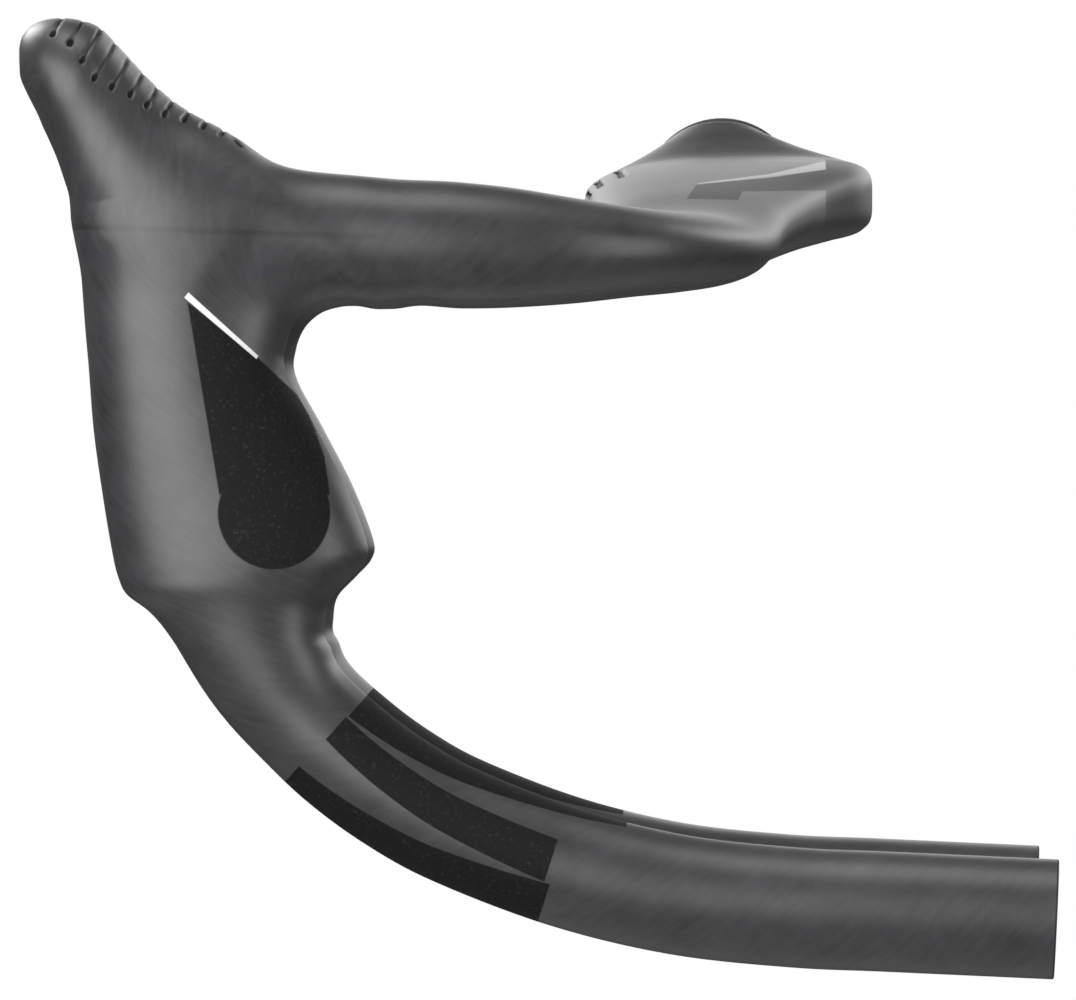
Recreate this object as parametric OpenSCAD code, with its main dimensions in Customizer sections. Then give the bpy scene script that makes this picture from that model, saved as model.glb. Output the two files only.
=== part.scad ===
// Track handlebar, moulded in one piece: a hollow shell with flat wing-shaped tops,
// hoods that rise to a grooved horn, and round hooks with a short straight grip.
// Millimetres. The origin is the middle of the stem clamp land, on its axis.
// +Z is up, the front of the bicycle is -X and the rider's left hand is on -Y.

/* [Stem clamp] */
// Diameter of the round land that the stem grips
clamp_d = 31.8; // [30:0.1:35]
// Length of that land along the bar
clamp_len = 46; // [36:1:60]
// How far the land stands proud of the wing root at its ends
clamp_step = 0.5; // [0.3:0.1:1]

/* [Overall] */
// Width between the centres of the two grips
bar_width = 370; // [340:5:440]
// Distance from the clamp axis forward to the middle of the hood
reach = 105; // [90:1:125]
// Height of the clamp axis above the middle of the mouth of the grip
drop = 144; // [135:1:165]

/* [Wing tops] */
// Chord of the wing, front edge to blunt rear edge
wing_chord = 57.6; // [50:0.2:66]
// Thickness of the wing
wing_thick = 16.4; // [14:0.2:20]
// How far the middle of the chord lies behind the clamp axis
wing_back = 1.3; // [-2:0.1:5]
// How far the tops fall from the clamp to the corner
tops_fall = 10; // [6:0.5:18]
// Length of the blend between the clamp land and the full wing
root_blend = 24; // [18:1:34]
// Width of the corner, from the outer end of the wing to the middle of the grip
corner_width = 44; // [38:1:50]

/* [Ramp and hood] */
// Height of the ramp, the stretch from the corner to the hood
ramp_height = 24.4; // [20:0.2:27]
// Width of the ramp, seen from above
ramp_width = 25; // [21:0.2:28]
// Length from the middle of the hood back to the start of the ramp
hood_len = 41; // [38:0.5:44]
// Width of the hood, side to side
hood_width = 32; // [28:0.2:36]
// Width of the horn, side to side
horn_width = 28; // [24:0.2:31]
// Length over which the ramp starts to turn, before the corner
corner_run = 12; // [8:0.5:16]

/* [Hook] */
// Outside diameter of the round tube of the hook
tube_d = 23.8; // [22:0.2:26]
// Radius of the centreline in the lower part of the bend
low_radius = 180; // [150:1:220]
// Radius of the centreline in the upper part of the bend
high_radius = 100; // [85:1:120]
// Straight length of the grip at the open end
grip_len = 52; // [35:1:80]
// Angle at which the grip slopes down to the rear
grip_slope = 2.6; // [0:0.1:8]
// How far the top of the bend lies behind the middle of the hood
neck_run = 15.1; // [13:0.1:17]

/* [Shell] */
// Wall of the hook, which sets the bore of the mouth
wall = 2.2; // [1.6:0.1:3]
// Wall at the clamp land
clamp_wall = 4.2; // [4:0.1:6]

/* [Grip grooves] */
// Grooves across the top of each horn
groove_count = 12; // [6:1:14]
// Distance from one groove to the next
groove_pitch = 4.1; // [3.2:0.1:4.4]
// Depth of a groove
groove_depth = 1; // [0.4:0.1:1.4]
// Width of a groove
groove_w = 1.6; // [1:0.1:2.2]
// Grooves along the front edge of each wing
notch_count = 3; // [1:1:4]
// Angle from one of those to the next, around the front edge
notch_turn = 17; // [12:1:22]
// Diameter of the round bottom of one of those
notch_d = 1.4; // [0.8:0.1:2]
// Length of one of those
notch_len = 34; // [15:1:45]

/* [Hidden] */

// Smoothness of the round parts
$fn = 96;
// Sides of one ring of the outer skin, and of the hollow inside it
skin_sides = 20;
core_sides = 12;

half_width = bar_width / 2;
hood_x = -reach;
clamp_r = clamp_d / 2;
tube_r = tube_d / 2;
bore_r = tube_r - wall;
root_r = clamp_r - clamp_step;
// Wall of the hood, ramp and wing.
core_wall = wall + 0.6;

// The centreline of the hook runs from the neck under the hood to the mouth.
// Angles are those of the tangent, measured from level.
neck_angle = 52;
change_angle = 24.3;
neck_x = hood_x + neck_run;
hook_fall = high_radius * (cos(change_angle) - cos(neck_angle))
    + low_radius * (cos(grip_slope) - cos(change_angle))
    + grip_len * sin(grip_slope);
neck_z = hook_fall - drop;
high_centre = [neck_x + high_radius * sin(neck_angle), neck_z + high_radius * cos(neck_angle)];
change_point = high_centre - high_radius * [sin(change_angle), cos(change_angle)];
low_centre = change_point + low_radius * [sin(change_angle), cos(change_angle)];
straight_start = low_centre - low_radius * [sin(grip_slope), cos(grip_slope)];

// A station is one cross-section of a limb:
// [x, y, z, half height, half width, lean, yaw, outer fullness, inner fullness].
// Lean tips the top of the section back, and yaw turns its outer side to the rear.
// A fullness of 2 is an ellipse, and more is squarer. y counts outward from the centre.

// A station in the plane of the hook, from two edge points that face each other.
function across(edge, facing, half, fullness = 2.1) = [
    (edge[0] + facing[0]) / 2,
    half_width,
    (edge[1] + facing[1]) / 2,
    norm(edge - facing) / 2,
    half,
    atan2(edge[0] - facing[0], edge[1] - facing[1]),
    0,
    fullness,
    fullness
];
// The same, measured from the neck, and from the middle of the hood.
function near_neck(front, rear, half) =
    across([neck_x, neck_z] + front, [neck_x, neck_z] + rear, half);
function on_hood(front, rear, half) =
    across([hood_x, 0] + front, [hood_x, 0] + rear, half);
// A round station on the centreline of a bend.
function on_bend(centre, radius, angle, r) =
    let (inward = [sin(angle), cos(angle)], middle = centre - radius * inward)
    across(middle - r * inward, middle + r * inward, r, 2);

horn = horn_width / 2;
hood = hood_width / 2;
ramp_top = 3;
ramp_low = ramp_top - ramp_height;
ramp_mid = (ramp_top + ramp_low) / 2;
ramp_h = ramp_height / 2;
ramp_w = ramp_width / 2;
// The bend of the hook, from inside the straight grip up to the neck.
bend_r = tube_r - 0.05;
grip_end = on_bend(low_centre, low_radius, grip_slope, bend_r);
bend_stations = concat(
    [[for (k = [0:8]) grip_end[k] + (k == 0 ? 7 * cos(grip_slope) : k == 2 ? -7 * sin(grip_slope) : 0)]],
    [
        for (k = [0:3])
            on_bend(low_centre, low_radius, grip_slope + (change_angle - grip_slope) * k / 3, bend_r)
    ],
    [
        for (k = [1:3])
            let (angle = change_angle + (neck_angle - 4 - change_angle) * k / 3)
            on_bend(high_centre, high_radius, angle, bend_r)
    ]
);

// The rest of the main limb, front edge first: neck, hood, and the turn into the ramp.
hood_stations = [
    near_neck([-16.8, 3.2], [10.3, 7.6], tube_r + 1.2),
    near_neck([-20.7, 9.3], [10.4, 11.4], hood * 0.86),
    near_neck([-24.2, 13.3], [11.7, 15.5], hood * 0.91),
    near_neck([-28.5, 16.6], [15.4, 19.5], hood * 0.97),
    near_neck([-30.2, 20], [18.7, 23.3], hood),
    near_neck([-31.4, 25], [18.9, 27.4], hood * 1.01),
    on_hood([-18.2, -60], [29.8, -58], hood * 1.01),
    on_hood([-20, -47], [23.8, -46.3], hood),
    on_hood([-21.2, -32], [18.1, -35.4], hood * 0.98),
    on_hood([-22.4, -17], [18.2, -30], hood * 0.97),
    on_hood([-24, -3.5], [20.2, -25.3], hood * 0.96),
    on_hood([-18, 6.5], [23.6, -22.4], hood * 0.94),
    on_hood([-6, 11], [27.2, -21.3], hood * 0.91),
    on_hood([6, 9.6], [30.6, -21.1], hood * 0.87),
    on_hood([15.5, 5.7], [34.4, ramp_low - 0.3], hood * 0.83),
    on_hood([24.5, 3.9], [38, ramp_low - 0.3], ramp_w * 1.02)
];
// The ramp runs back to the corner, which turns inward to the wing.
corner_x = -30;
ramp_start = hood_x + hood_len;
ramp_end = corner_x - corner_run;
corner_stations = [
    [ramp_start, half_width, ramp_mid, ramp_h - 0.1, ramp_w, -12, 0, 2.1, 2.1],
    [(ramp_start + ramp_end) / 2, half_width - 0.6, ramp_mid - 0.6,
        ramp_h - 0.4, ramp_w, -2, 2, 2.1, 2.1],
    [ramp_end, half_width - 2.5, ramp_mid - 1.1, ramp_h - 1.1, ramp_w, 0, 12, 2.1, 2.1],
    [corner_x, half_width - 7.5, ramp_mid - 1.7, ramp_h - 2.5, ramp_w + 1, 0, 28, 2.1, 2.2],
    [corner_x + 10, half_width - 16, ramp_mid - 1.9, ramp_h - 3.9, ramp_w + 2.8, 0, 47, 2.2, 2.2],
    [corner_x + 17, half_width - 28, ramp_mid - 1.9, ramp_h - 4.7, ramp_w + 4.6, 0, 64, 2.3, 2.2]
];
// The wing rises toward the clamp and grows to its full chord. part is 1 at the corner.
wing_half = wing_chord / 2;
wing_h = wing_thick / 2;
wing_sink = 0.4;
nose_fullness = 2.1;
wing_start = clamp_len / 2 + root_blend;
wing_run = half_width - corner_width - wing_start;
function wing(part, chord, back, yaw, full) = [
    wing_back * (1 - part) + back,
    wing_start + wing_run * part,
    -tops_fall * pow(part, 1.7) - wing_sink,
    wing_h - 1.2 * part,
    wing_half - chord,
    0,
    yaw,
    full,
    nose_fullness
];
wing_stations = [
    wing(1, 10.3, -8.5, 77, 2.4),
    wing(0.75, 9, -6.6, 83, 2.6),
    wing(0.48, 5.5, -3.9, 87, 3),
    wing(0.22, 1.2, -0.6, 89, 4.2),
    wing(0, 0, 0, 90, 4.6)
];
// The wing shrinks to a round root that ends inside the clamp land.
function root(part, grown, full) = [
    wing_back * part,
    clamp_len / 2 + root_blend * part,
    -wing_sink * part,
    root_r + (wing_h - root_r) * grown,
    root_r + (wing_half - root_r) * grown,
    0,
    90,
    full,
    nose_fullness
];
root_stations = [
    root(0.72, 0.93, 4.4),
    root(0.42, 0.58, 3),
    root(0.16, 0.16, 2.2),
    root(0, 0, 2),
    [0, clamp_len / 2 - 8, 0, root_r, root_r, 0, 90, 2, 2]
];
main_stations = concat(bend_stations, hood_stations, corner_stations, wing_stations, root_stations);

// The horn, rear edge first: from inside the hood to the tip.
horn_stations = [
    on_hood([12, 1], [-4, -24], horn * 0.9),
    on_hood([8.5, 6.8], [-11, -19.5], horn * 0.97),
    on_hood([4.6, 11.1], [-17.5, -13.5], horn * 1.02),
    on_hood([-1.2, 15.5], [-22.5, -7], horn * 1.03),
    on_hood([-7.4, 20.7], [-24.8, -0.5], horn * 1.02),
    on_hood([-12.6, 26], [-26.2, 3.6], horn),
    on_hood([-15.6, 29.4], [-27.4, 7], horn),
    on_hood([-18.9, 32.6], [-28.7, 10], horn),
    on_hood([-22.7, 34], [-30, 12.8], horn * 0.96),
    on_hood([-26.4, 34.4], [-31, 15.2], horn * 0.88),
    on_hood([-29.8, 34], [-32.2, 17.6], horn * 0.76),
    on_hood([-32.4, 32.8], [-33.4, 20], horn * 0.58),
    on_hood([-34.1, 30.8], [-34.5, 22.8], horn * 0.36),
    on_hood([-34.7, 28.4], [-34.7, 25.6], 1.5)
];

// A smooth curve through the stations, at place u counted in stations.
function spline(list, u) =
    let (
        last = len(list) - 1,
        i = min(floor(u), last - 1),
        t = u - i,
        a = list[max(i - 1, 0)],
        b = list[i],
        c = list[i + 1],
        d = list[min(i + 2, last)]
    )
    b + 0.5 * t * (c - a + t * (2 * a - 5 * b + 4 * c - d + t * (3 * (b - c) + d - a)));

function signed_power(v, p) = sign(v) * pow(abs(v), p);

// One ring of a limb at station s. inset is how far it lies inside the station's outline,
// and cut_depth is how much deeper it lies over the top, down to cut_wrap degrees each side.
function ring(s, sides, inset, cut_depth, cut_wrap) = [
    for (i = [0:sides - 1])
        let (
            a = 360 * i / sides,
            power = 2 / (sin(a) >= 0 ? s[7] : s[8]),
            out = [sin(s[6]), cos(s[6]), 0],
            up = [sin(s[5]) * cos(s[6]), -sin(s[5]) * sin(s[6]), cos(s[5])],
            from_top = min(a, 360 - a),
            cut = cut_depth * max(0, min(1, (cut_wrap - from_top) / 12 + 0.5)),
            h = s[3] - inset - cut,
            w = s[4] - inset - cut
        )
        [s[0], s[1], s[2]]
            + up * h * signed_power(cos(a), power)
            + out * w * signed_power(sin(a), power)
];

// A closed skin over rings that all have the same number of points.
module skin(rings) {
    n = len(rings[0]);
    m = len(rings);
    polyhedron(
        points = [for (r = rings) each r],
        faces = concat(
            [[for (i = [0:n - 1]) i]],
            [
                for (k = [0:m - 2])
                    for (i = [0:n - 1])
                        let (j = (i + 1) % n, a = k * n, b = a + n)
                        each [[a + i, b + i, b + j], [a + i, b + j, a + j]]
            ],
            [[for (i = [n - 1:-1:0]) (m - 1) * n + i]]
        ),
        convexity = 8
    );
}

// Length along the rear edge of the horn, as pairs of [length, place].
function rear_edge(u) =
    let (s = spline(horn_stations, u))
    [s[0] + s[3] * sin(s[5]), s[2] + s[3] * cos(s[5])];
edge_step = 0.1;
horn_last = len(horn_stations) - 1;
edge_table = [
    for (
        u = 0, run = 0;
        u < horn_last;
        run = run + norm(rear_edge(u + edge_step) - rear_edge(u)), u = u + edge_step
    )
        [run, u]
];
// The last groove lies this far along the edge, measured from the tip.
tip_land = 10.6;
edge_length = edge_table[len(edge_table) - 1][0];
function groove_place(i, side) =
    lookup(edge_length - tip_land - (i - side / 2 * groove_w / groove_pitch) * groove_pitch, edge_table);
// A groove wraps over the horn to this angle each side, less toward the ramp.
function groove_wrap(i) = i < 4 ? 64 : max(64 - 7 * (i - 3), 10);

// Rings of the horn: [place, groove depth, groove wrap].
root_end = groove_place(groove_count - 1, -1);
tip_start = groove_place(0, 1);
horn_rings = concat(
    [for (k = [0:3]) [root_end * k / 4, 0, 0]],
    [
        for (i = [groove_count - 1:-1:0])
            for (side = [-1, 0, 1])
                [groove_place(i, side), side == 0 ? groove_depth : 0, groove_wrap(i)]
    ],
    [for (k = [1:6]) [tip_start + (horn_last - tip_start) * k / 6, 0, 0]]
);

module horn_skin() {
    skin([for (r = horn_rings) ring(spline(horn_stations, r[0]), skin_sides, 0, r[1], r[2])]);
}

module horn_core() {
    last = horn_last - 4;
    skin([for (k = [0:8]) ring(spline(horn_stations, last * k / 8), core_sides, core_wall, 0, 0)]);
}

main_last = len(main_stations) - 1;
main_rings = 2 * main_last;
core_rings = main_last;

module main_limb(rings, sides, inset) {
    skin([
        for (k = [rings:-1:0])
            ring(spline(main_stations, main_last * k / rings), sides, inset, 0, 0)
    ]);
}

module main_skin() {
    main_limb(main_rings, skin_sides, 0);
}

module main_core() {
    main_limb(core_rings, core_sides, core_wall);
}

// The straight grip as a solid rod, from the bend to the mouth.
module grip_rod(r, past_mouth) {
    translate([straight_start[0], half_width, straight_start[1]])
        rotate([0, 90 + grip_slope, 0])
            cylinder(r = r, h = grip_len + past_mouth);
}

// Grooves along the front edge of the wing, from where it has its full chord.
first_notch = 84;
notch_fall = 2;
notch_sweep = 1.3;
module wing_notches() {
    for (i = [0:notch_count - 1])
        let (a = first_notch - i * notch_turn, power = 2 / nose_fullness)
        translate([
            wing_back - wing_half * pow(sin(a), power),
            wing_start - 4,
            wing_h * pow(cos(a), power) - wing_sink
        ])
            rotate([-90 - notch_fall, 0, -notch_sweep])
                cylinder(d = notch_d, h = notch_len);
}

module half_outside() {
    main_skin();
    horn_skin();
    grip_rod(tube_r, 0);
}

module half_inside() {
    main_core();
    horn_core();
    grip_rod(bore_r, 1);
    wing_notches();
}

module both_halves() {
    children();
    mirror([0, 1, 0])
        children();
}

module handlebar() {
    color([0.13, 0.13, 0.14])
        difference() {
            union() {
                both_halves() half_outside();
                rotate([90, 0, 0])
                    cylinder(r = clamp_r, h = clamp_len, center = true);
            }
            both_halves() half_inside();
            rotate([90, 0, 0])
                cylinder(r = clamp_r - clamp_wall, h = clamp_len - 10, center = true);
        }
}

handlebar();
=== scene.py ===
"""Looks of a one-piece track handlebar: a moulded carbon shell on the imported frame.

Lengths in the dataclasses are millimetres, and the meshes are built in metres in
the frame's own axes: +Z up, -X to the front of the bicycle, -Y to the left hand.
"""

from __future__ import annotations

import logging
import math
from dataclasses import dataclass, field
from enum import Enum
from typing import Any

import bpy
import numpy as np
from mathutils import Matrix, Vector
from mathutils.bvhtree import BVHTree

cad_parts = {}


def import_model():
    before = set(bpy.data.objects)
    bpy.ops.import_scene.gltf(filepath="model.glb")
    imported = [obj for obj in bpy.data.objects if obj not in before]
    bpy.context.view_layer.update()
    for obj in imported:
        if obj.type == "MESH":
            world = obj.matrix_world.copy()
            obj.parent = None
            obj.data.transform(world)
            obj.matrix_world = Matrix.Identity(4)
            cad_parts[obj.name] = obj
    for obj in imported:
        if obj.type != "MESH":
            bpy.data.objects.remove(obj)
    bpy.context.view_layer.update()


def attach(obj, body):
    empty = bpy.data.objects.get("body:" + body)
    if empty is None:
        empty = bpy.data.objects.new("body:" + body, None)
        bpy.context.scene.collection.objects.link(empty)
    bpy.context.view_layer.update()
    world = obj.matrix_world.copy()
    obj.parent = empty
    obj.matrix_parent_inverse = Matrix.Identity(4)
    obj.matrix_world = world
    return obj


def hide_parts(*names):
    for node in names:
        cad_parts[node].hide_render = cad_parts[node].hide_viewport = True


LOG = logging.getLogger("handlebar")
MM = 0.001
Point = tuple[float, float]


class Side(Enum):
    """Which half of the bar, by the sign of its Y."""

    LEFT = -1
    RIGHT = 1


def linear(hex_colour: str) -> tuple[float, float, float, float]:
    """Turn an sRGB hex colour to linear light."""
    values = [int(hex_colour[i : i + 2], 16) / 255 for i in (1, 3, 5)]
    r, g, b = (v / 12.92 if v <= 0.04045 else ((v + 0.055) / 1.055) ** 2.4 for v in values)
    return (r, g, b, 1.0)


def turn(angle: float) -> tuple[float, float]:
    """Sine and cosine of an angle in degrees."""
    return math.sin(math.radians(angle)), math.cos(math.radians(angle))


def smooth(values: np.ndarray, low: float, high: float) -> np.ndarray:
    """Rise smoothly from 0 at low to 1 at high."""
    t = np.clip((values - low) / (high - low), 0.0, 1.0)
    return t * t * (3 - 2 * t)


def travel(points: np.ndarray) -> np.ndarray:
    """Length along a line of points, at each of them."""
    return np.concatenate([[0.0], np.cumsum(np.linalg.norm(np.diff(points, axis=0), axis=1))])


def spline(rows: np.ndarray, places: np.ndarray) -> np.ndarray:
    """Read a smooth curve through rows of numbers.

    Args:
        rows: One row for each station.
        places: Places along the curve, counted in stations.

    Returns:
        One row for each place.
    """
    last = len(rows) - 1
    i = np.minimum(np.floor(places).astype(int), last - 1)
    t = (places - i)[:, None]
    a, b = rows[np.maximum(i - 1, 0)], rows[i]
    c, d = rows[i + 1], rows[np.minimum(i + 2, last)]
    return b + 0.5 * t * (c - a + t * (2 * a - 5 * b + 4 * c - d + t * (3 * (b - c) + d - a)))


@dataclass
class Skin:
    """Rings of points over a limb, all with the same number of points.

    Attributes:
        rings: Rings by points by 3.
        lay: For each point, its length along the limb, its length around it from the
            nearer seam, and its depth under the middle line in the plane of the hook.
        pressed: For each point, the painted shade of a groove there, from 0 to 1, which also dulls it.
        shade: For each point, the direction it is shaded with, or nothing for its own.
    """

    rings: np.ndarray
    lay: np.ndarray
    pressed: np.ndarray
    shade: np.ndarray

    @staticmethod
    def plain(rings: np.ndarray) -> Skin:
        """A skin with no lay."""
        return Skin(rings, np.zeros(rings.shape), np.zeros(rings.shape[:2]), np.zeros(rings.shape))

    @staticmethod
    def over(rings: np.ndarray, middles: np.ndarray, ups: np.ndarray) -> Skin:
        """A skin with its lay measured.

        Args:
            rings: Rings by points by 3.
            middles: The middle of each ring.
            ups: The direction to the top of each ring.
        """
        around = np.linalg.norm(np.diff(rings, axis=1, append=rings[:, :1]), axis=2)
        around = np.cumsum(around, axis=1) - around
        around = np.minimum(around, around[:, -1:] - around)
        deep = -((rings - middles[:, None]) * ups[:, None]).sum(axis=2)
        along = np.broadcast_to(travel(middles)[:, None], deep.shape)
        lay = np.stack([along, around, deep], 2)
        return Skin(rings, lay, np.zeros(deep.shape), np.zeros(rings.shape))

    def facing(self) -> int:
        """1 where faces listed ring by ring look outward, or -1."""
        normal = np.cross(np.roll(self.rings, -1, 1) - self.rings, np.gradient(self.rings, axis=0))
        arm = self.rings - self.rings.mean(axis=1, keepdims=True)
        return 1 if float((normal * arm).sum()) > 0 else -1

    def faces(self) -> list[tuple[int, int, int, int]]:
        """Four-sided faces that look outward."""
        m, n = self.rings.shape[:2]
        out = []
        for k in range(m - 1):
            for i in range(n):
                a, b, j = k * n, (k + 1) * n, (i + 1) % n
                out.append((a + i, a + j, b + j, b + i))
        return out if self.facing() > 0 else [face[::-1] for face in out]

    def tree(self) -> BVHTree:
        """A search tree over the faces."""
        return BVHTree.FromPolygons(self.rings.reshape(-1, 3).tolist(), self.faces())

    def press(self, depth: np.ndarray, share: np.ndarray) -> None:
        """Press the skin in by a depth at each point, and note there the painted shade of the groove."""
        around = np.roll(self.rings, -1, 1) - np.roll(self.rings, 1, 1)
        normal = np.cross(around, np.gradient(self.rings, axis=0)) * self.facing()
        normal /= np.maximum(np.linalg.norm(normal, axis=2, keepdims=True), 1e-9)
        self.rings = self.rings - normal * depth[..., None]
        self.pressed = np.maximum(self.pressed, share)
        self.shade[depth > 0] = 0


@dataclass
class Sections:
    """Cross-sections of a limb: middle, half height, half width, lean, yaw and fullness."""

    rows: list[list[float]] = field(default_factory=list)

    def add(
        self,
        middle: tuple[float, float, float],
        height: float,
        width: float,
        lean: float = 0.0,
        yaw: float = 0.0,
        outer: float = 2.1,
        inner: float = 2.1,
    ) -> None:
        """Add one section; height and width are half sizes, and angles are degrees."""
        self.rows.append([*middle, height, width, lean, yaw, outer, inner])

    def across(self, edge: Point, facing: Point, half: float, y: float, full: float = 2.1) -> None:
        """Add a section in the plane of the hook, from two facing edge points.

        Args:
            edge: The front or top edge, as x and z.
            facing: The opposite edge, as x and z.
            half: Half the width across the plane.
            y: Distance of the plane from the middle of the bar.
            full: Fullness, where 2 is an ellipse and more is squarer.
        """
        dx, dz = edge[0] - facing[0], edge[1] - facing[1]
        middle = ((edge[0] + facing[0]) / 2, y, (edge[1] + facing[1]) / 2)
        lean = math.degrees(math.atan2(dx, dz))
        self.add(middle, math.hypot(dx, dz) / 2, half, lean, 0.0, full, full)

    def skin(self, places: np.ndarray, sides: int, crowd: float = 0.0) -> Skin:
        """A skin over the sections.

        Args:
            places: Where its rings lie, counted in sections.
            sides: How many points each ring has.
            crowd: How much closer the points stand on the inner side, from 0 to 1.

        Returns:
            The skin, for the half with positive Y.
        """
        s = spline(np.array(self.rows), places)
        lean, yaw = np.radians(s[:, 5]), np.radians(s[:, 6])
        out = np.stack([np.sin(yaw), np.cos(yaw), 0 * yaw], 1)
        up = np.stack([np.sin(lean) * np.cos(yaw), -np.sin(lean) * np.sin(yaw), np.cos(lean)], 1)
        shift = 0.0
        for _ in range(20):
            shift = crowd * math.cos(shift)
        t = shift + np.arange(sides) * 2 * np.pi / sides
        a = (t - crowd * np.cos(t))[None, :]
        power = 2 / np.where(np.sin(a) >= 0, s[:, 7:8], s[:, 8:9])
        high = s[:, 3:4] * np.sign(np.cos(a)) * np.abs(np.cos(a)) ** power
        wide = s[:, 4:5] * np.sign(np.sin(a)) * np.abs(np.sin(a)) ** power
        rings = s[:, None, :3] + high[..., None] * up[:, None, :] + wide[..., None] * out[:, None, :]
        return Skin.over(rings, s[:, :3], up)


@dataclass
class BarSizes:
    """Sizes that the parts of the bar share, as in the part's source."""

    clamp_d: float = 31.8
    clamp_len: float = 46.0
    clamp_step: float = 0.5
    bar_width: float = 370.0
    reach: float = 105.0
    drop: float = 144.0
    tube_d: float = 23.8
    wall: float = 2.2
    grip_len: float = 52.0
    grip_slope: float = 2.6
    low_radius: float = 180.0
    high_radius: float = 100.0
    change_angle: float = 24.3
    neck_angle: float = 52.0
    neck_run: float = 15.1
    corner_run: float = 12.0
    hood_len: float = 41.0
    ramp_height: float = 24.4
    ramp_width: float = 25.0
    hood_width: float = 32.0
    horn_width: float = 28.0
    wing_chord: float = 57.6
    wing_thick: float = 16.4
    wing_back: float = 1.3
    wing_sink: float = 0.4
    tops_fall: float = 10.0
    root_blend: float = 24.0
    corner_width: float = 44.0
    nose_fullness: float = 2.1

    @property
    def half_width(self) -> float:
        """Distance of a grip from the middle of the bar."""
        return self.bar_width / 2

    @property
    def neck(self) -> np.ndarray:
        """The end of the bend under the hood, as x and z."""
        grip, change, neck = (turn(a) for a in (self.grip_slope, self.change_angle, self.neck_angle))
        fall = self.high_radius * (change[1] - neck[1]) + self.low_radius * (grip[1] - change[1])
        return np.array([self.neck_run - self.reach, fall + self.grip_len * grip[0] - self.drop])

    @property
    def high_centre(self) -> np.ndarray:
        """Centre of the upper bend."""
        return self.neck + self.high_radius * np.array(turn(self.neck_angle))

    @property
    def low_centre(self) -> np.ndarray:
        """Centre of the lower bend."""
        return self.high_centre + (self.low_radius - self.high_radius) * np.array(turn(self.change_angle))

    @property
    def grip_start(self) -> np.ndarray:
        """Where the bend ends and the straight grip starts, as x and z."""
        return self.low_centre - self.low_radius * np.array(turn(self.grip_slope))

    @property
    def grip_way(self) -> np.ndarray:
        """Direction of the straight grip to its mouth, as x and z."""
        sine, cosine = turn(self.grip_slope)
        return np.array([cosine, -sine])


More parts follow.
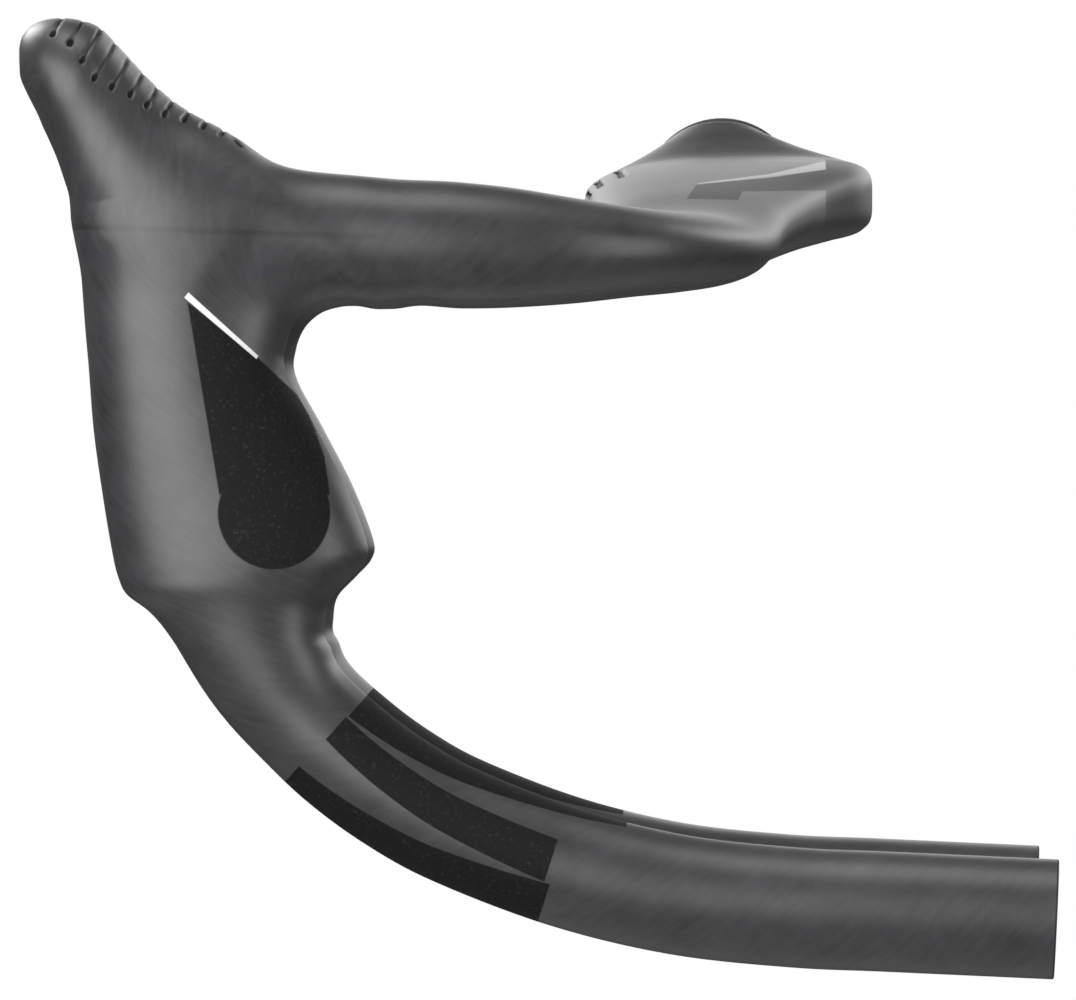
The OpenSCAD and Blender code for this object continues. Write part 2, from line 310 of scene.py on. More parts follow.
@dataclass
class MainLimb:
    """The limb from the open end of the grip, through hook, hood and wing, to the clamp."""

    sizes: BarSizes = field(default_factory=BarSizes)
    sides: int = 160
    crowd: float = 0.5
    rings: int = 7
    notch_rings: int = 28
    notch_sections: tuple[int, int] = (34, 37)
    corner_x: float = -30.0
    notches: int = 3
    first_notch: float = 84.0
    notch_turn: float = 17.0
    notch_d: float = 1.7
    notch_depth: float = 0.8
    notch_len: float = 34.0
    mouth_round: float = 0.4

    def _bend(self, out: Sections) -> None:
        """Add the straight grip and the bend of the hook."""
        b = self.sizes
        r = b.tube_d / 2
        inward = np.array(turn(b.grip_slope))
        for k in (3, 2, 1):
            length = b.grip_len * k / 3 - (self.mouth_round if k == 3 else 0)
            middle = b.grip_start + b.grip_way * length
            out.across(tuple(middle - r * inward), tuple(middle + r * inward), r, b.half_width, 2.0)
        low_step = (b.change_angle - b.grip_slope) / 3
        high_step = (b.neck_angle - 4 - b.change_angle) / 3
        bends = [(b.low_centre, b.low_radius, b.grip_slope + low_step * k) for k in range(4)]
        bends += [(b.high_centre, b.high_radius, b.change_angle + high_step * k) for k in range(1, 4)]
        for centre, radius, angle in bends:
            inward = np.array(turn(angle))
            middle = centre - radius * inward
            out.across(tuple(middle - r * inward), tuple(middle + r * inward), r, b.half_width, 2.0)

    def _hood(self, out: Sections) -> None:
        """Add the neck, the hood and the turn into the ramp."""
        b = self.sizes
        hood = b.hood_width / 2
        ramp_low = 2.7 - b.ramp_height
        neck: list[tuple[Point, Point, float]] = [
            ((-16.8, 3.2), (11.1, 7.4), b.tube_d / 2 + 1.2),
            ((-20.7, 9.3), (10.8, 11.2), hood * 0.86),
            ((-24.2, 13.3), (11.7, 15.5), hood * 0.91),
            ((-28.5, 16.6), (15.4, 19.5), hood * 0.97),
            ((-30.2, 20), (18.7, 23.3), hood),
            ((-31.4, 25), (18.9, 27.4), hood * 1.01),
        ]
        for front, rear, half in neck:
            out.across(tuple(b.neck + front), tuple(b.neck + rear), half, b.half_width)
        body: list[tuple[Point, Point, float]] = [
            ((-18.2, -60), (29.8, -58), hood * 1.01),
            ((-20, -47), (23.8, -46.3), hood),
            ((-21.2, -32), (18.1, -35.4), hood * 0.98),
            ((-22.4, -17), (18.2, -30), hood * 0.97),
            ((-24, -3.5), (20.2, -25.3), hood * 0.96),
            ((-18, 6.5), (23.6, -22.4), hood * 0.94),
            ((-6, 11), (27.2, -21.3), hood * 0.91),
            ((6, 9.6), (30.6, -21.1), hood * 0.87),
            ((15.5, 5.7), (34.4, ramp_low), hood * 0.83),
            ((24.5, 3.9), (38, ramp_low), b.ramp_width / 2 * 1.02),
        ]
        for (front_x, front_z), (rear_x, rear_z), half in body:
            out.across((front_x - b.reach, front_z), (rear_x - b.reach, rear_z), half, b.half_width)

    def _corner(self, out: Sections) -> None:
        """Add the ramp and the corner where it turns inward."""
        b = self.sizes
        mid = 3 - b.ramp_height / 2
        h, w, y, x = b.ramp_height / 2, b.ramp_width / 2, b.half_width, self.corner_x
        start, end = b.hood_len - b.reach, x - b.corner_run
        out.add((start, y, mid), h - 0.1, w, -12)
        out.add(((start + end) / 2, y - 0.6, mid - 0.6), h - 0.4, w, -2, 2)
        out.add((end, y - 2.5, mid - 1.1), h - 1.1, w, 0, 12)
        out.add((x, y - 7.5, mid - 1.7), h - 2.5, w + 1, 0, 28, 2.1, 2.2)
        out.add((x + 10, y - 16, mid - 1.9), h - 3.9, w + 2.8, 0, 47, 2.2, 2.2)
        out.add((x + 17, y - 28, mid - 1.9), h - 4.7, w + 4.6, 0, 64, 2.3, 2.2)

    def _wing(self, out: Sections) -> None:
        """Add the wing and its round root inside the clamp land."""
        b = self.sizes
        half, h = b.wing_chord / 2, b.wing_thick / 2
        start = b.clamp_len / 2 + b.root_blend
        run = b.half_width - b.corner_width - start
        for part, chord, back, yaw, full in (
            (1, 10.3, -8.5, 77, 2.4),
            (0.75, 9, -6.6, 83, 2.6),
            (0.48, 5.5, -3.9, 87, 3),
            (0.22, 1.2, -0.6, 89, 4.2),
            (0, 0, 0, 90, 4.6),
        ):
            x, z = b.wing_back * (1 - part) + back, -b.tops_fall * part**1.7 - b.wing_sink
            out.add((x, start + run * part, z), h - 1.2 * part, half - chord, 0, yaw, full, b.nose_fullness)
        root = b.clamp_d / 2 - b.clamp_step
        for part, grown, full in ((0.72, 0.93, 4.4), (0.42, 0.58, 3), (0.16, 0.16, 2.2), (0, 0, 2)):
            middle = (b.wing_back * part, b.clamp_len / 2 + b.root_blend * part, -b.wing_sink * part)
            height, width = root + (h - root) * grown, root + (half - root) * grown
            out.add(middle, height, width, 0, 90, full, b.nose_fullness)
        out.add((0, b.clamp_len / 2 - 8, 0), root, root, 0, 90, 2, 2)

    def skin(self) -> Skin:
        """The outer skin, from the mouth of the grip to the clamp."""
        sections = Sections()
        for stretch in (self._bend, self._hood, self._corner, self._wing):
            stretch(sections)
        last = len(sections.rows) - 1
        start, end = self.notch_sections
        places = [np.arange(0, start, 1 / self.rings), np.arange(start, end, 1 / self.notch_rings)]
        places.append(np.linspace(end, last, (last - end) * self.rings + 1))
        return sections.skin(np.concatenate(places), self.sides, self.crowd)

    def notch(self, skin: Skin) -> None:
        """Press the short grooves into the front edge of the wing, with painted shade in them."""
        b = self.sizes
        y = b.clamp_len / 2 + b.root_blend - 4
        way = np.array([0.8, self.notch_len, -1.2]) / self.notch_len
        for i in range(self.notches):
            sine, cosine = turn(self.first_notch - self.notch_turn * i)
            power = 2 / b.nose_fullness
            x = b.wing_back - b.wing_chord / 2 * sine**power
            arm = skin.rings - np.array([x, y, b.wing_thick / 2 * cosine**power - b.wing_sink])
            along = arm @ way
            off = np.linalg.norm(arm - along[..., None] * way, axis=2)
            ends = smooth(along, 0, 1.5) * (1 - smooth(along, self.notch_len - 1.5, self.notch_len))
            share = np.clip(1 - (off / (self.notch_d / 2)) ** 2, 0, 1) * ends
            skin.press(share * self.notch_depth, share)


@dataclass
class Horn:
    """The horn that rises from the hood, before its grip grooves are pressed in."""

    sizes: BarSizes = field(default_factory=BarSizes)
    sides: int = 144
    ring_gap: float = 0.42

    def skin(self) -> Skin:
        """The outer skin, with rings evenly spaced along its rear edge."""
        b = self.sizes
        horn = b.horn_width / 2
        sections = Sections()
        rows: list[tuple[Point, Point, float]] = [
            ((12, 1), (-4, -24), horn * 0.9),
            ((8.5, 6.8), (-11, -19.5), horn * 0.97),
            ((4.6, 11.1), (-17.5, -13.5), horn * 1.02),
            ((-1.2, 15.5), (-22.5, -7), horn * 1.03),
            ((-7.4, 20.7), (-24.8, -0.5), horn * 1.02),
            ((-12.6, 26), (-26.2, 3.6), horn),
            ((-15.6, 29.4), (-27.4, 7), horn),
            ((-18.9, 32.6), (-28.7, 10), horn),
            ((-22.7, 34), (-30, 12.8), horn * 0.96),
            ((-26.4, 34.4), (-31, 15.2), horn * 0.88),
            ((-29.8, 34), (-32.2, 17.6), horn * 0.76),
            ((-32.4, 32.8), (-33.4, 20), horn * 0.58),
            ((-34.1, 30.8), (-34.5, 22.8), horn * 0.36),
            ((-34.7, 28.4), (-34.7, 25.6), 1.5),
        ]
        for (rear_x, rear_z), (front_x, front_z), half in rows:
            rear, front = (rear_x - b.reach, rear_z), (front_x - b.reach, front_z)
            sections.across(rear, front, half, b.half_width)
        fine = np.linspace(0, len(rows) - 1, 1301)
        length = travel(sections.skin(fine, 4).rings[:, 0])
        along = np.linspace(0, length[-1], int(length[-1] / self.ring_gap))
        return sections.skin(np.interp(along, length, fine), self.sides)


@dataclass
class GripGrooves:
    """Parallel grooves across the rear edge of the horn, each ending in a small pit.

    Attributes:
        first: Place of the first groove, measured across the grooves.
        slant: Angle between the grooves and the vertical.
        reach: How far each groove runs down the flank, from the tip to the ramp.
        end_blur: How softly a groove ends.
        pit_back: How far the middle of a pit lies before the end of its groove.
        crest_near: How near a groove the crest that it starts from is looked for.
        crest_shade: How far down from the crest a groove gets full painted shade.
        flank_shade: How much painted shade the rest of a groove gets, from 0 to 1.
    """

    first: float = -130.8
    pitch: float = 3.88
    slant: float = 30.0
    width: float = 0.95
    depth: float = 0.25
    pit_width: float = 1.45
    pit_depth: float = 0.7
    reach: tuple[float, ...] = (4.6, 5.8, 8.0, 8.8, 7.3, 5.7, 4.7, 3.8, 2.4, 1.8, 1.5, 1.3)
    end_blur: float = 0.3
    pit_back: float = 0.6
    crest_near: float = 0.6
    crest_shade: float = 1.4
    flank_shade: float = 0.35

    def press(self, skins: list[Skin]) -> None:
        """Press the grooves into the skins of one half of the bar, with painted shade in each."""
        sine, cosine = turn(self.slant)
        across = [skin.rings @ np.array([cosine, 0, -sine]) for skin in skins]
        down = [skin.rings @ np.array([-sine, 0, -cosine]) for skin in skins]
        depths = [np.zeros(a.shape) for a in across]
        shares = [np.zeros(a.shape) for a in across]
        for i, reach in enumerate(self.reach):
            place = self.first + self.pitch * i
            near = [np.abs(a - place) < self.crest_near for a in across]
            top = min(float(d[n].min()) for d, n in zip(down, near) if n.any())
            for k in range(len(skins)):
                low = down[k] - top
                pit = np.exp(-((low - reach + self.pit_back) ** 2) / 0.5)
                width = self.width + (self.pit_width - self.width) * pit
                groove = np.clip(1 - ((across[k] - place) / (width / 2)) ** 2, 0, 1)
                groove = groove * (1 - smooth(low, reach - self.end_blur, reach + self.end_blur))
                # painted shade in each groove: full near the crest and in the pit, lighter down the flank
                dark = np.clip(self.flank_shade + pit + np.exp(-((low / self.crest_shade) ** 2)), 0, 1)
                deep = self.depth + (self.pit_depth - self.depth) * pit
                depths[k] = np.maximum(depths[k], groove * deep)
                shares[k] = np.maximum(shares[k], groove * dark)
        for skin, depth, share in zip(skins, depths, shares):
            skin.press(depth, share)


@dataclass
class Fillet:
    """A smooth join of two skins: the level where their blended distance is nothing.

    Attributes:
        radius: How far the blend reaches.
        front_radius: How far it reaches down the front, where the skins run side by side.
        front: Where along X the first reach goes over to the second, in reverse.
        steps: How often a point is moved toward the level.
        near_enough: Distance from the level at which it stays.
        tuck: How steeply each skin dips under the other where the other takes over.
        seam: How far from the seam both skins take the level's own shading.
    """

    radius: float = 8.0
    front_radius: float = 2.5
    front: tuple[float, float] = (-128.5, -119.0)
    steps: int = 6
    near_enough: float = 0.002
    tuck: float = 0.12
    seam: float = 2.0

    def _level(
        self, trees: tuple[BVHTree, BVHTree], p: Vector
    ) -> tuple[float, float, float, Vector]:
        """Distances to both skins, their blend and its steepest way at a point."""
        gaps, ways = [], []
        for tree in trees:
            near, facing, _, gap = tree.find_nearest(p)
            outside = (p - near).dot(facing) >= 0
            gaps.append(gap if outside else -gap)
            ways.append((p - near) / gaps[-1] if gap > 1e-4 else facing)
        back = float(smooth(p.x, *self.front))
        reach = self.front_radius + (self.radius - self.front_radius) * back
        share = max(reach - abs(gaps[0] - gaps[1]), 0) / reach
        level = min(gaps) - share * share * reach / 4
        first = 1 - share / 2 if gaps[0] < gaps[1] else share / 2
        return gaps[0], gaps[1], level, ways[0] * first + ways[1] * (1 - first)

    def join(self, first: Skin, second: Skin) -> tuple[np.ndarray, np.ndarray]:
        """Move both skins to the joined surface, and tuck each in where the other takes over.

        Args:
            first: One skin, which is changed.
            second: The other skin, which is changed.

        Returns:
            For each skin, which of its points stay.
        """
        trees = (first.tree(), second.tree())
        kept = []
        for own, skin in enumerate((first, second)):
            keep = np.ones(skin.rings.shape[:2], bool)
            for k, i in np.ndindex(keep.shape):
                p = Vector(skin.rings[k, i])
                if trees[1 - own].find_nearest(p, self.radius * 1.4)[0] is None:
                    continue
                for _ in range(self.steps):
                    *gaps, level, way = self._level(trees, p)
                    if gaps[1 - own] < -self.radius / 2 or abs(level) < self.near_enough:
                        break
                    p -= way * (level / max(way.length_squared, 0.2))
                *gaps, level, way = self._level(trees, p)
                over = gaps[own] - gaps[1 - own]
                keep[k, i] = over < 0
                if abs(over) < self.seam:
                    skin.shade[k, i] = way.normalized()
                p -= way.normalized() * self.tuck * min(over, 1.0) * min(math.exp(over), 1.0)
                skin.rings[k, i] = p
            kept.append(keep)
        return kept[0], kept[1]


@dataclass
class Shell:
    """A mesh under construction, with the lay of its points for the finishes to read."""

    skins: list[Skin] = field(default_factory=list)
    faces: list[tuple[int, ...]] = field(default_factory=list)
    count: int = 0

    def add(self, skin: Skin, keep: np.ndarray | None = None, capped: bool = False) -> None:
        """Add a skin.

        Args:
            skin: The skin.
            keep: Which of its points stay, or None for all.
            capped: Whether a flat face closes its last ring.
        """
        m, n = skin.rings.shape[:2]
        flat = None if keep is None else keep.reshape(-1)
        for face in skin.faces():
            if flat is None or flat[list(face)].any():
                self.faces.append(tuple(self.count + i for i in face))
        if capped:
            ring = [self.count + (m - 1) * n + i for i in range(n)]
            self.faces.append(tuple(ring[:: skin.facing()]))
        self.skins.append(skin)
        self.count += m * n

    def piece(self, name: str, side: Side, material: bpy.types.Material) -> bpy.types.Object:
        """Make the object.

        Args:
            name: Its name.
            side: Which half of the bar it is on.
            material: Its finish.

        Returns:
            The object, dressed and riding on the part.
        """
        points = np.concatenate([skin.rings.reshape(-1, 3) for skin in self.skins])
        lay = np.concatenate([skin.lay.reshape(-1, 3) for skin in self.skins])
        pressed = np.concatenate([skin.pressed.reshape(-1) for skin in self.skins])
        shade = np.concatenate([skin.shade.reshape(-1, 3) for skin in self.skins])
        used = np.unique(np.concatenate([np.array(face) for face in self.faces]))
        index = np.full(self.count, -1)
        index[used] = np.arange(len(used))
        faces = [index[list(face)].tolist()[:: side.value] for face in self.faces]
        data = bpy.data.meshes.new(name)
        mirror = np.array([1, side.value, 1])
        data.from_pydata((points[used] * mirror * MM).tolist(), [], faces)
        data.attributes.new("lay", "FLOAT_VECTOR", "POINT").data.foreach_set("vector", lay[used].ravel())
        data.attributes.new("pressed", "FLOAT", "POINT").data.foreach_set("value", pressed[used])
        data.polygons.foreach_set("use_smooth", [True] * len(data.polygons))
        if shade.any():
            data.normals_split_custom_set_from_vertices((shade[used] * mirror).tolist())
        data.materials.append(material)
        data.update()
        piece = bpy.data.objects.new(name, data)
        bpy.context.scene.collection.objects.link(piece)
        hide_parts("handlebar")
        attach(piece, "root")
        return piece


@dataclass
class Nodes:
    """A node tree that is being filled."""

    tree: bpy.types.NodeTree

    def add(self, kind: str, settings: dict[str, Any] | None = None, **inputs: Any) -> Any:
        """Add a node with its settings and its links.

        Args:
            kind: The node's type, without its leading ShaderNode.
            settings: Properties of the node.
            inputs: Values or sockets for its inputs: _0 is the first input, and
                underscores inside a name stand for spaces.

        Returns:
            The node's only output, or the node itself where it has more.
        """
        node = self.tree.nodes.new("ShaderNode" + kind)
        for key, value in (settings or {}).items():
            setattr(node, key, value)
        for key, value in inputs.items():
            socket = node.inputs[int(key[1:]) if key[0] == "_" else key.replace("_", " ")]
            if isinstance(value, bpy.types.NodeSocket):
                self.tree.links.new(value, socket)
            else:
                socket.default_value = value
        return node.outputs[0] if len(node.outputs) == 1 else node

    def math(self, operation: str, *values: Any) -> Any:
        """A Math node's output."""
        return self.add("Math", {"operation": operation}, **{f"_{i}": v for i, v in enumerate(values)})

    def ramp(self, value: Any, low: float, high: float, to_low: float = 0.0, to_high: float = 1.0) -> Any:
        """A smooth step of a value from low to high."""
        settings = {"interpolation_type": "SMOOTHSTEP"}
        return self.add("MapRange", settings, _0=value, _1=low, _2=high, _3=to_low, _4=to_high).outputs[0]

    def both(self, *masks: Any) -> Any:
        """The least of some masks."""
        out = masks[0]
        for mask in masks[1:]:
            out = self.math("MINIMUM", out, mask)
        return out

    def either(self, *masks: Any) -> Any:
        """The greatest of some masks."""
        out = masks[0]
        for mask in masks[1:]:
            out = self.math("MAXIMUM", out, mask)
        return out

    def past(self, a: Any, b: Any, start: Point, end: Point, blur: float) -> Any:
        """A mask of the right-hand side of a line, seen along the way from start to end.

        Args:
            a: The first coordinate.
            b: The second coordinate.
            start: A point on the line.
            end: Another point on it.
            blur: Half the width of the soft edge.
        """
        da, db = end[0] - start[0], end[1] - start[1]
        size = math.hypot(da, db)
        whole = self.math("MULTIPLY_ADD", b, -da / size, self.math("MULTIPLY", a, db / size))
        offset = (start[0] * db - start[1] * da) / size
        return self.ramp(whole, offset - blur, offset + blur)

    def polygon(self, a: Any, b: Any, corners: list[Point], blur: float = 0.12) -> Any:
        """A mask of the inside of a convex polygon, with its corners listed clockwise."""
        sides = zip(corners, corners[1:] + corners[:1])
        return self.both(*(self.past(a, b, start, end, blur) for start, end in sides))

    def disc(self, a: Any, b: Any, middle: Point, radius: float, blur: float = 0.12) -> Any:
        """A mask of the inside of a circle."""
        da = self.math("POWER", self.math("SUBTRACT", a, middle[0]), 2.0)
        db = self.math("POWER", self.math("SUBTRACT", b, middle[1]), 2.0)
        away = self.math("SQRT", self.math("ADD", da, db))
        return self.ramp(away, radius - blur, radius + blur, 1.0, 0.0)

    def blend(self, share: Any, first: Any, second: Any) -> Any:
        """A colour that goes from the first to the second."""
        return self.add("Mix", {"data_type": "RGBA"}, _0=share, _6=first, _7=second).outputs[2]

    def noise(self, where: Any, scale: float, detail: float = 2.0, rough: float = 0.5) -> Any:
        """A noise value at a place."""
        node = self.add("TexNoise", None, Vector=where, Scale=scale, Detail=detail, Roughness=rough)
        return node.outputs[0]

    def stretched(self, where: Any, x: float, y: float, z: float) -> Any:
        """A place with each axis scaled."""
        return self.add("VectorMath", {"operation": "MULTIPLY"}, _0=where, _1=(x, y, z)).outputs[0]

    def surface(self, **inputs: Any) -> None:
        """End the tree in a Principled surface."""
        shader = self.add("BsdfPrincipled", None, IOR=1.5, **inputs)
        self.add("OutputMaterial", None, Surface=shader)


def blank_material(name: str) -> tuple[bpy.types.Material, Nodes]:
    """An empty node material and its tree."""
    material = bpy.data.materials.new(name)
    material.use_nodes = True
    material.node_tree.nodes.clear()
    return material, Nodes(material.node_tree)


@dataclass(frozen=True)
class SatinCarbon:
    """Unidirectional carbon fibre, moulded under pressure and sealed with satin lacquer.

    To the eye it is a dark grey with a broad soft sheen, streaked by the fibres, with
    blacker fields of bare textured resin on the hood and along the hook.

    Attributes:
        grain: How strongly the fibres and the patches change the tone.
        bias: Angle of the fibres to the limb.
        hook_plane: Distance of a hook's middle plane from the middle of the bar, beyond
            which its outer flank lies.
        wing_span: Where the wing's stripe and its painted tail shade start and end, from the bar's middle.
        mould_slope: Fall of the faint mould line for each millimetre along X.
        mould_depth: Depth of that line under the middle of the clamp.
        mould_end: Where along X that line fades.
        faint: Strength of the mould line and of the pale edge.
    """

    name: str = "moulded_carbon_satin_lacquer"
    carbon: str = "#2f2f31"
    resin: str = "#0c0c0d"
    speck: str = "#262627"
    # near-black painted shade inside the grooves and notches
    groove: str = "#070707"
    paint: str = "#dcdcdc"
    roughness: float = 0.55
    lacquer_roughness: float = 0.42
    grain: float = 1.3
    bias: float = 52.0
    hook_plane: float = 185.0
    wing_span: Point = (48.5, 142.5)
    mould_slope: float = 0.035
    mould_depth: float = 11.45
    mould_end: Point = (-74.0, -62.0)
    faint: float = 0.45

    def _hood_field(self, n: Nodes, x: Any, z: Any) -> Any:
        """The dark field of the hood: a wedge that ends in a round, left bare."""
        upper = [(-106.3, -21.9), (-92.5, -32.8), (-83.3, -41.4)]
        lower = [(-79.2, -52.5), (-78.2, -60.0), (-100.0, -60.0)]
        wedge = n.polygon(x, z, upper + lower, 0.2)
        return n.either(wedge, n.disc(x, z, (-89.2, -63.6), 11.1, 0.2))

    def _hook_bands(self, n: Nodes, along: Any, deep: Any) -> Any:
        """The dark bands along the bend of the hook, by length from the mouth and depth."""
        middle = n.polygon(along, deep, [(100.8, 4.9), (151.9, 5.9), (151.9, -0.1), (100.8, -3.9)])
        outer = n.polygon(along, deep, [(99.6, -4.0), (152.3, -7.6), (152.3, -14.0), (99.6, -14.0)])
        inner = n.polygon(along, deep, [(88.0, 14.0), (151.6, 14.0), (151.6, 6.3), (88.0, 11.0)])
        return n.either(middle, outer, inner)

    def _wing_stripe_and_tail_shade(self, n: Nodes, x: Any, z: Any) -> Any:
        """The plain dull stripe over the rear of the wing, a block and a long blade, and painted shade on
        its tail.
        """
        block = n.polygon(x, z, [(-5.4, 1.98), (4.3, 2.05), (2.9, -1.25), (-7.5, -1.0)])
        blade = n.polygon(x, z, [(-5.2, 2.05), (20.6, 5.2), (20.6, 0.9), (2.9, 0.5)])
        # painted shade on the trailing tail: a soft dark band that fades toward the rear edge
        painted_tail_shade = n.both(n.ramp(x, 20.4, 20.7), n.ramp(x, 25.0, 29.5, 1.0, 0.0), n.ramp(z, -7.0, -1.0))
        return n.either(block, blade, painted_tail_shade)

    def _wing_edge(self, n: Nodes, x: Any, z: Any) -> Any:
        """The thin pale edge over that stripe."""
        thin = n.polygon(x, z, [(-5.2, 2.2), (9.4, 4.2), (9.6, 3.5), (-5.2, 2.0)])
        wide = n.polygon(x, z, [(9.4, 4.2), (20.6, 7.0), (20.6, 5.2), (9.6, 3.5)])
        return n.either(thin, wide)

    def _mould_line(self, n: Nodes, x: Any, z: Any, flank: Any) -> Any:
        """The faint line where the halves of the mould met, over the hood and the ramp."""
        away = n.math("ADD", n.math("MULTIPLY_ADD", x, self.mould_slope, z), self.mould_depth)
        line = n.ramp(n.math("ABSOLUTE", away), 0.1, 1.0, 1.0, 0.0)
        return n.both(line, n.ramp(x, *self.mould_end, 1.0, 0.0), flank)

    def build(self) -> bpy.types.Material:
        """Make the material."""
        material, n = blank_material(self.name)
        place = n.add("TexCoord").outputs["Object"]
        spot = n.add("VectorMath", {"operation": "SCALE"}, _0=place, Scale=1 / MM).outputs[0]
        axes = n.add("SeparateXYZ", None, _0=spot)
        x, z, outboard = axes.outputs["X"], axes.outputs["Z"], n.math("ABSOLUTE", axes.outputs["Y"])
        flank = n.ramp(outboard, self.hook_plane - 0.1, self.hook_plane + 0.1)
        lay = n.add("Attribute", {"attribute_name": "lay"}).outputs["Vector"]
        lay_axes = n.add("SeparateXYZ", None, _0=lay)
        pressed = n.add("Attribute", {"attribute_name": "pressed"}).outputs["Fac"]
        bands = self._hook_bands(n, lay_axes.outputs["X"], lay_axes.outputs["Z"])
        root, tip = self.wing_span
        wing = n.ramp(outboard, tip - 0.5, tip + 0.5, 1.0, 0.0)
        wing = n.both(wing, n.ramp(outboard, root - 0.5, root + 0.5))
        stripe_and_tail_shade = n.both(self._wing_stripe_and_tail_shade(n, x, z), wing)
        resin = n.either(n.both(self._hood_field(n, x, z), flank), bands)
        pin_corners = [(-106.1, -20.0), (-92.3, -32.5), (-92.7, -33.1), (-106.9, -21.0)]
        pin = n.both(n.polygon(x, z, pin_corners, 0.1), flank)
        edge = n.both(self._wing_edge(n, x, z), wing)
        bias = n.add("VectorRotate", {"rotation_type": "Z_AXIS"}, Vector=lay, Angle=math.radians(self.bias))
        streak = n.noise(n.stretched(bias, 0.13, 0.8, 0.0), 1.0, 5.0, 0.62)
        patch = n.noise(spot, 0.09, 3.0, 0.6)
        speck = n.noise(spot, 1.3, 2.0, 0.7)
        tone = n.math("SUBTRACT", n.math("ADD", streak, patch), 1.0)
        tone = n.math("MULTIPLY_ADD", tone, self.grain, 1.0)
        carbon = linear(self.carbon)[:3]
        carbon = n.add("VectorMath", {"operation": "SCALE"}, _0=carbon, Scale=tone).outputs[0]
        bare = n.blend(n.ramp(speck, 0.55, 0.75), linear(self.resin), linear(self.speck))
        # bare resin colour on the hood field, hook bands and wing stripe, and painted shade on the wing's
        # tail
        colour = n.blend(n.either(resin, stripe_and_tail_shade), carbon, bare)
        line = n.math("MULTIPLY", self._mould_line(n, x, z, flank), self.faint)
        colour = n.blend(line, colour, linear(self.resin))
        # painted shade: grooves and notches darkened toward near black by their share
        colour = n.blend(n.ramp(pressed, 0.08, 0.55), colour, linear(self.groove))
        colour = n.blend(n.math("MULTIPLY", edge, self.faint), colour, linear(self.paint))
        colour = n.blend(pin, colour, linear(self.paint))
        rough = n.math("MULTIPLY_ADD", resin, 0.15, self.roughness)
        dull = n.either(resin, n.math("MULTIPLY", stripe_and_tail_shade, 0.5), n.ramp(pressed, 0.1, 0.6))
        lacquer = n.math("SUBTRACT", 1.0, dull)
        height = n.math("ADD", streak, speck)
        bump = n.add("Bump", None, Strength=0.25, Distance=0.00004, Height=height)
        n.surface(
            Base_Color=colour,
            Roughness=rough,
            Specular_IOR_Level=0.2,
            Coat_Weight=lacquer,
            Coat_Roughness=self.lacquer_roughness,
            Normal=bump,
        )
        return material


@dataclass(frozen=True)
class CutCarbon:
    """Carbon laminate as it comes off the saw and the core: dull, nearly black."""

    name: str = "sawn_carbon_laminate"
    resin: str = "#1b1b1c"
    fibre: str = "#2b2b2c"

    def build(self) -> bpy.types.Material:
        """Make the material."""
        material, n = blank_material(self.name)
        ply = n.noise(n.add("TexCoord").outputs["Object"], 0.9 / MM, 3.0)
        n.surface(Base_Color=n.blend(ply, linear(self.resin), linear(self.fibre)), Roughness=0.7)
        return material


@dataclass(frozen=True)
class ClampGrit:
    """Carbon land left matt and finely gritted, so that the stem grips it."""

    name: str = "gritted_carbon_land"
    resin: str = "#2b2b2c"
    grit: str = "#3c3c3e"

    def build(self) -> bpy.types.Material:
        """Make the material."""
        material, n = blank_material(self.name)
        grit = n.noise(n.add("TexCoord").outputs["Object"], 2.2 / MM)
        bump = n.add("Bump", None, Strength=0.4, Distance=0.00006, Height=grit)
        colour = n.blend(grit, linear(self.resin), linear(self.grit))
        n.surface(Base_Color=colour, Roughness=0.6, Normal=bump)
        return material


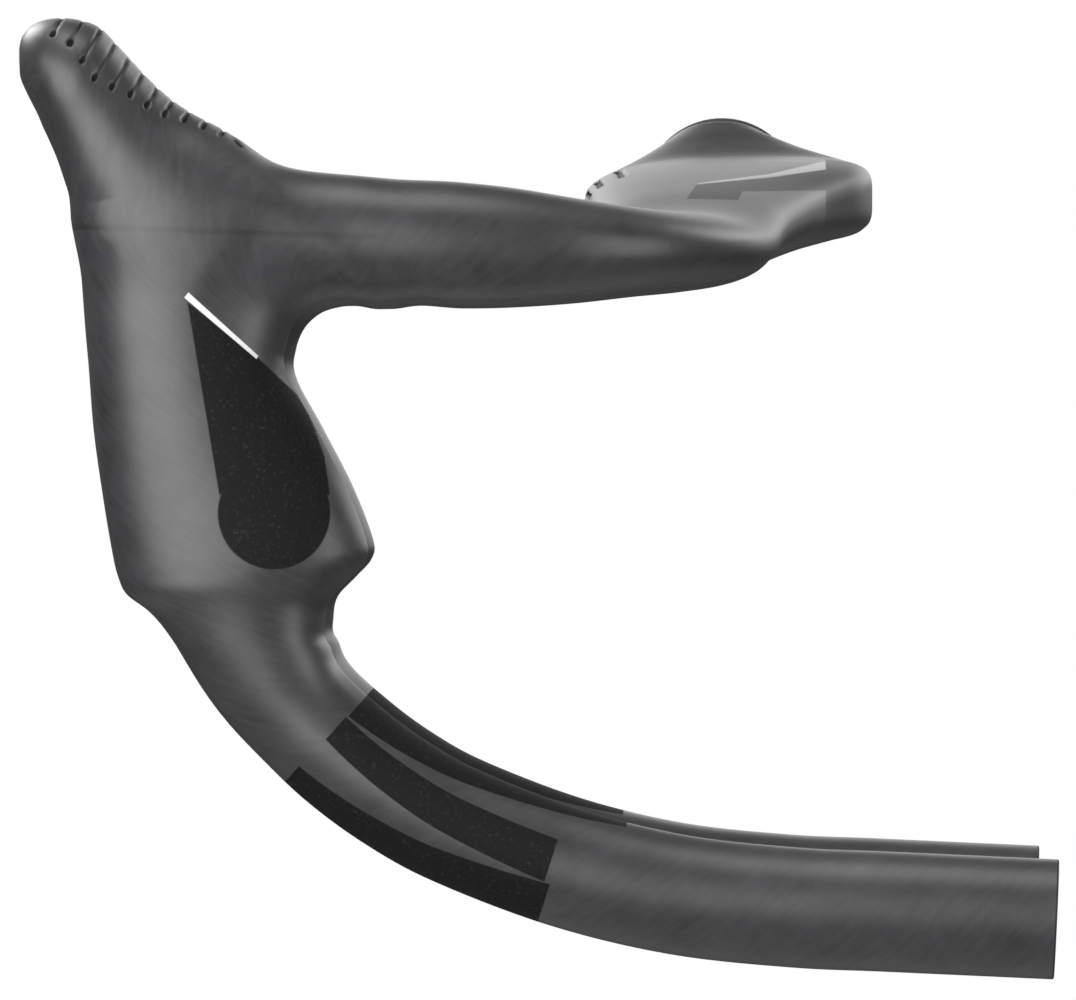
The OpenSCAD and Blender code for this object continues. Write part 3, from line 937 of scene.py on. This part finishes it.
@dataclass
class Handlebar:
    """The whole moulded bar: two halves, their open ends and the clamp land."""

    sizes: BarSizes = field(default_factory=BarSizes)
    land_chamfer: float = 0.4
    mouth_round: float = 0.4
    bore_depth: float = 75.0

    def half(self) -> Shell:
        """The skin of one half: main limb and horn, joined by a fillet."""
        limb = MainLimb(self.sizes, mouth_round=self.mouth_round)
        main, horn = limb.skin(), Horn(self.sizes).skin()
        keep_main, keep_horn = Fillet().join(main, horn)
        GripGrooves().press([main, horn])
        limb.notch(main)
        shell = Shell()
        shell.add(main, keep_main)
        shell.add(horn, keep_horn, capped=True)
        return shell

    def mouth(self) -> Shell:
        """The sawn end of the grip and the bore behind it."""
        b = self.sizes
        e, r, bore = self.mouth_round, b.tube_d / 2, b.tube_d / 2 - b.wall
        way, up = np.insert(b.grip_way, 1, 0.0), np.insert(np.array(turn(b.grip_slope)), 1, 0.0)
        end = np.insert(b.grip_start, 1, b.half_width) + way * b.grip_len
        rows = [(-e, r), (-e * 0.6, r - e * 0.08), (-e * 0.25, r - e * 0.3), (0, r - e), (0, bore + e)]
        rows += [(-e * 0.3, bore + e * 0.3), (-e, bore), (-self.bore_depth, bore), (-self.bore_depth, 0.4)]
        a = np.radians(np.arange(96) * 3.75)[:, None]
        spokes = np.cos(a) * up + np.sin(a) * np.array([0, 1.0, 0])
        shell = Shell()
        shell.add(Skin.plain(np.stack([end + way * at + spokes * radius for at, radius in rows])))
        return shell

    def land(self) -> Shell:
        """The round land for the stem clamp, with a small chamfer at each end."""
        b = self.sizes
        r, half, c = b.clamp_d / 2, b.clamp_len / 2, self.land_chamfer
        low = r - b.clamp_step - 0.6
        rows = [(-half, low), (-half, r - c), (-half + c, r), (half - c, r), (half, r - c), (half, low)]
        a = np.radians(np.arange(180) * 2.0)
        spokes = np.stack([np.sin(a), 0 * a, np.cos(a)], 1)
        shell = Shell()
        shell.add(Skin.plain(np.stack([np.array([0, y, 0]) + spokes * radius for y, radius in rows])))
        return shell

    def build(self) -> None:
        """Build the pieces, dress them and report each."""
        half, mouth, land = self.half(), self.mouth(), self.land()
        carbon, cut = SatinCarbon().build(), CutCarbon().build()
        pieces = [land.piece("clamp_land", Side.RIGHT, ClampGrit().build())]
        for side in Side:
            pieces.append(half.piece(f"shell_{side.name.lower()}", side, carbon))
            pieces.append(mouth.piece(f"mouth_{side.name.lower()}", side, cut))
        for piece in pieces:
            LOG.info("%s: %d faces", piece.name, len(piece.data.polygons))


@dataclass
class Studio:
    """Floor, lights, background and the far camera that looks square at the side.

    Attributes:
        origin_px: Where the middle of the clamp is in the photograph.
        distance: Distance of the camera from the middle of the bar.
        true_plane: Y of the plane that px_per_mm holds for, in the near hook.
        fill: Strength of the world for what is lit by it.
        gloss: Strength of the world in reflections.
    """

    photo_px: tuple[int, int] = (1076, 1000)
    px_per_mm: float = 5.05
    origin_px: tuple[float, float] = (725.0, 192.0)
    distance: float = 9.5
    true_plane: float = -0.18
    floor_z: float = -1.6
    floor_half: float = 4.0
    fill: float = 0.06
    gloss: float = 0.05

    def floor(self) -> None:
        """A plain pale floor under the bar."""
        data = bpy.data.meshes.new("studio_floor")
        s, z = self.floor_half, self.floor_z
        data.from_pydata([(-s, -s, z), (s, -s, z), (s, s, z), (-s, s, z)], [], [(0, 1, 2, 3)])
        floor = bpy.data.objects.new("studio_floor", data)
        bpy.context.scene.collection.objects.link(floor)
        material, n = blank_material("floor_matt_paint")
        n.surface(Base_Color=linear("#e4e4e4"), Roughness=0.9)
        data.materials.append(material)

    def light(self, name: str, place: tuple[float, float, float], size: Point, watts: float) -> None:
        """Add a soft rectangular light that faces the bar."""
        data = bpy.data.lights.new(name, "AREA")
        data.shape, data.size, data.size_y, data.energy = "RECTANGLE", *size, watts
        lamp = bpy.data.objects.new(name, data)
        lamp.location = place
        lamp.visible_camera = False
        aim = Vector((-0.03, 0, -0.06)) - Vector(place)
        lamp.rotation_euler = aim.to_track_quat("-Z", "Y").to_euler()
        bpy.context.scene.collection.objects.link(lamp)

    def world(self) -> None:
        """White behind the bar, and a dim even fill on it."""
        world = bpy.data.worlds.new("studio_world")
        bpy.context.scene.world = world
        world.use_nodes = True
        world.node_tree.nodes.clear()
        n = Nodes(world.node_tree)
        path = n.add("LightPath").outputs
        gloss = n.math("MULTIPLY", path["Is Glossy Ray"], self.gloss)
        seen = n.either(path["Is Camera Ray"], path["Is Transmission Ray"], gloss, self.fill)
        strength = n.math("MINIMUM", seen, 1.0)
        shade = n.add("Background", None, Color=linear("#ffffff"), Strength=strength)
        n.add("OutputWorld", None, Surface=shade)

    def camera(self) -> None:
        """A far camera with a long lens, square to the side of the bar."""
        wide, high = self.photo_px
        x = (wide / 2 - self.origin_px[0]) / self.px_per_mm * MM
        z = (self.origin_px[1] - high / 2) / self.px_per_mm * MM
        data = bpy.data.cameras.new("photo_camera")
        data.sensor_width = 36.0
        data.lens = 36.0 * (self.distance + self.true_plane) / (wide / self.px_per_mm * MM)
        data.clip_start, data.clip_end = 1.0, 2000.0
        camera = bpy.data.objects.new("photo_camera", data)
        camera.location = (x, -self.distance, z)
        camera.rotation_euler = (math.radians(90), 0, 0)
        bpy.context.scene.collection.objects.link(camera)
        bpy.context.scene.camera = camera

    def build(self) -> None:
        """Set up everything around the bar."""
        bpy.context.scene.view_settings.view_transform = "Standard"
        self.floor()
        self.world()
        self.light("side_softbox", (-0.55, -0.92, 0.02), (1.0, 0.8), 13.5)
        self.light("end_softbox", (1.2, -0.85, 0.05), (0.5, 1.1), 9.0)
        self.light("top_softbox", (-0.1, -0.35, 1.35), (0.9, 0.9), 10.0)
        self.light("rear_softbox", (0.55, 1.55, 0.5), (2.4, 0.9), 9.0)
        self.light("far_end_softbox", (1.0, 0.75, 0.75), (0.7, 0.7), 4.5)
        self.light("far_side_softbox", (-0.8, 0.8, 0.8), (0.7, 0.7), 14.0)
        self.camera()


def main() -> None:
    """Load the frame, build the bar and its studio, and log the face count of each piece."""
    logging.basicConfig(level=logging.INFO, format="%(name)s: %(message)s")
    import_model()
    Handlebar().build()
    Studio().build()
    LOG.info("studio ready")
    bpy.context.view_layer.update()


if __name__ == "__main__":
    main()
